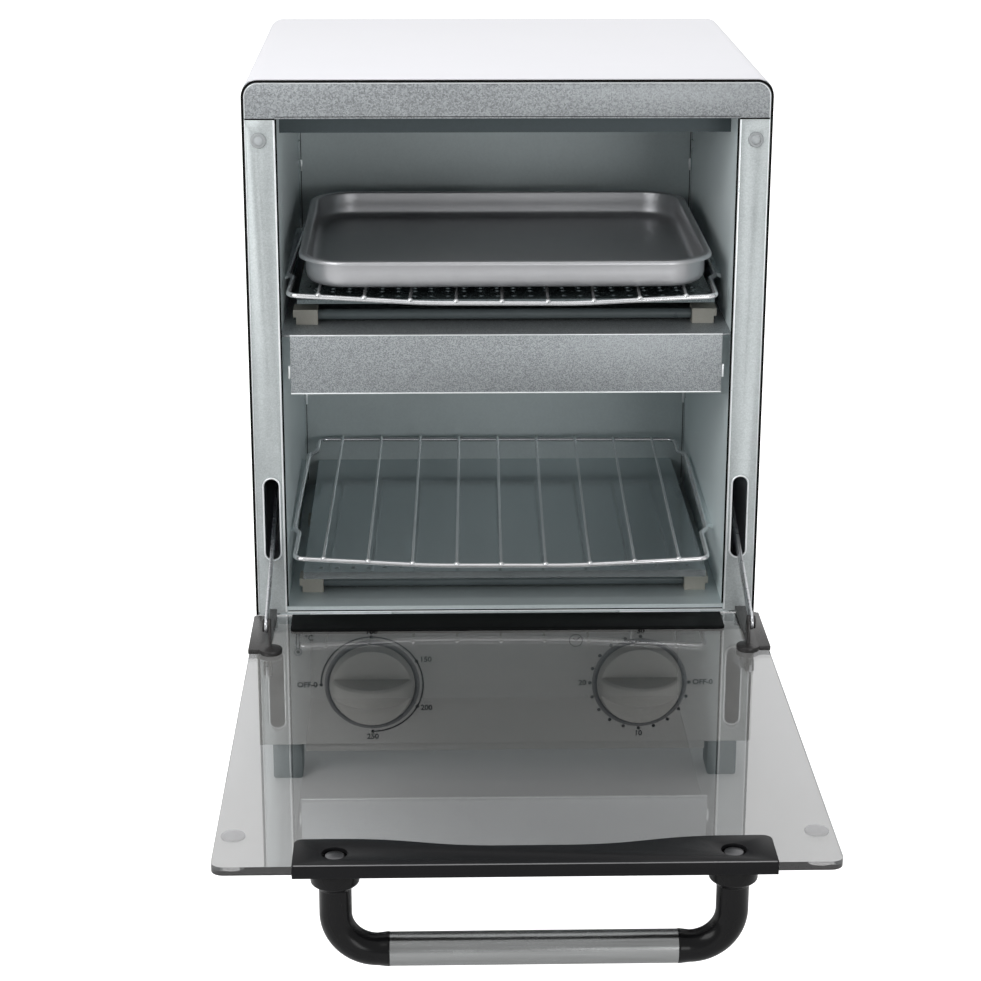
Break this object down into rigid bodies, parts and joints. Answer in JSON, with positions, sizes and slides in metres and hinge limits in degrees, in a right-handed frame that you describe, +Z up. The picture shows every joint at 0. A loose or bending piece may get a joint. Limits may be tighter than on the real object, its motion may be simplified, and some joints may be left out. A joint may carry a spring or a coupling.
{
  "type": "dry heat sterilizer",
  "caption": "Benchtop dry heat sterilizer with a drop-down glass door, two wire racks, a tray, two dials and a bar handle.",
  "frame": {"origin": "bottom centre of the box round the whole part at rest, with the door open and level; the feet's undersides are at zero height", "axes": "+Z up; the door and handle are at -Y and the back panel is at +Y, which is the longest extent; +X is to the right of a person facing the door and is the shortest extent"},
  "size_m": [0.27, 0.55, 0.388],
  "materials": {
    "white_enamel": "white powder coat",
    "galvanised": "galvanised sheet with fine spangle",
    "black_plastic": "satin black plastic",
    "black_paint": "black painted steel",
    "dark_glass": "tinted mirror glass",
    "clear_rubber": "translucent soft stop",
    "chrome_wire": "chrome plated",
    "tray_aluminium": "dull drawn aluminium",
    "ceramic": "cream ceramic",
    "heater_glass": "quartz heating tube",
    "cream_plastic": "off-white moulded plastic",
    "zinc_steel": "zinc plated steel",
    "dark_control": "dark moulded plastic"
  },
  "bodies": {
    "cabinet": {"outer_cover": "white_enamel", "back_panel": "galvanised", "base_plate": "galvanised", "lintel": "galvanised", "ceiling_panel": "galvanised", "oven_back": "galvanised", "oven_floor": "galvanised", "sill_plate": "galvanised", "mid_deck": "galvanised", "lower_guard": "galvanised", "upper_guard": "galvanised", "lower_front_heater": "heater_glass", "lower_rear_heater": "heater_glass", "upper_front_heater": "heater_glass", "upper_rear_heater": "heater_glass", "control_panel": "white_enamel", "thermostat": "dark_control", "timer": "dark_control", "terminal_block": "dark_control", "cord_gland": "black_plastic", "left_front_foot": "black_plastic", "left_rear_foot": "black_plastic", "left_column": "galvanised", "left_bumper": "clear_rubber", "left_wall": "galvanised", "left_lower_front_block": "ceramic", "left_lower_rear_block": "ceramic", "left_upper_front_block": "ceramic", "left_upper_rear_block": "ceramic", "left_hinge_ear": "zinc_steel", "right_front_foot": "black_plastic", "right_rear_foot": "black_plastic", "right_column": "galvanised", "right_bumper": "clear_rubber", "right_wall": "galvanised", "right_lower_front_block": "ceramic", "right_lower_rear_block": "ceramic", "right_upper_front_block": "ceramic", "right_upper_rear_block": "ceramic", "right_hinge_ear": "zinc_steel"},
    "door": {"door_glass": "dark_glass", "hinge_strip": "black_plastic", "handle_clamp": "black_plastic", "handle_tube": "chrome_wire", "left_bracket": "black_paint", "left_pad": "clear_rubber", "left_handle_screw": "zinc_steel", "left_elbow": "black_plastic", "right_bracket": "black_paint", "right_pad": "clear_rubber", "right_handle_screw": "zinc_steel", "right_elbow": "black_plastic"},
    "left_link": {"left_arm": "zinc_steel"},
    "right_link": {"right_arm": "zinc_steel"},
    "thermostat_dial": {"temperature_knob": "cream_plastic"},
    "timer_dial": {"timer_knob": "cream_plastic"},
    "lower_shelf": {"lower_rack": "chrome_wire"},
    "upper_shelf": {"upper_rack": "chrome_wire"},
    "tray_pan": {"tray": "tray_aluminium"}
  },
  "joints": [
    {"name": "door_hinge", "type": "hinge", "parent": "cabinet", "child": "door", "pos_m": [0, 0.02275, 0.09575], "axis": [1, 0, 0], "range_deg": [-90, 0]},
    {"name": "thermostat_turn", "type": "hinge", "parent": "cabinet", "child": "thermostat_dial", "pos_m": [-0.0728, 0.024, 0.0582], "axis": [0, 1, 0], "range_deg": [0, 270]},
    {"name": "timer_turn", "type": "hinge", "parent": "cabinet", "child": "timer_dial", "pos_m": [0.0728, 0.024, 0.0582], "axis": [0, 1, 0], "range_deg": [0, 270]},
    {"name": "lower_rack_slide", "type": "slide", "parent": "cabinet", "child": "lower_shelf", "axis": [0, -1, 0], "range_m": [0, 0.11]},
    {"name": "upper_rack_slide", "type": "slide", "parent": "cabinet", "child": "upper_shelf", "axis": [0, -1, 0], "range_m": [0, 0.11]},
    {"name": "tray_slide", "type": "slide", "parent": "upper_shelf", "child": "tray_pan", "axis": [0, -1, 0], "range_m": [0, 0.12]},
    {"name": "left_arm_pivot", "type": "hinge", "parent": "door", "child": "left_link", "pos_m": [-0.1256, -0.026, 0.116], "axis": [1, 0, 0], "range_deg": [0, 90]},
    {"name": "right_arm_pivot", "type": "hinge", "parent": "door", "child": "right_link", "pos_m": [0.1256, -0.026, 0.116], "axis": [1, 0, 0], "range_deg": [0, 90]}
  ],
  "couplings": [
    {"joint": "left_arm_pivot", "follows": "door_hinge", "ratio": -1},
    {"joint": "right_arm_pivot", "follows": "door_hinge", "ratio": -1}
  ]
}
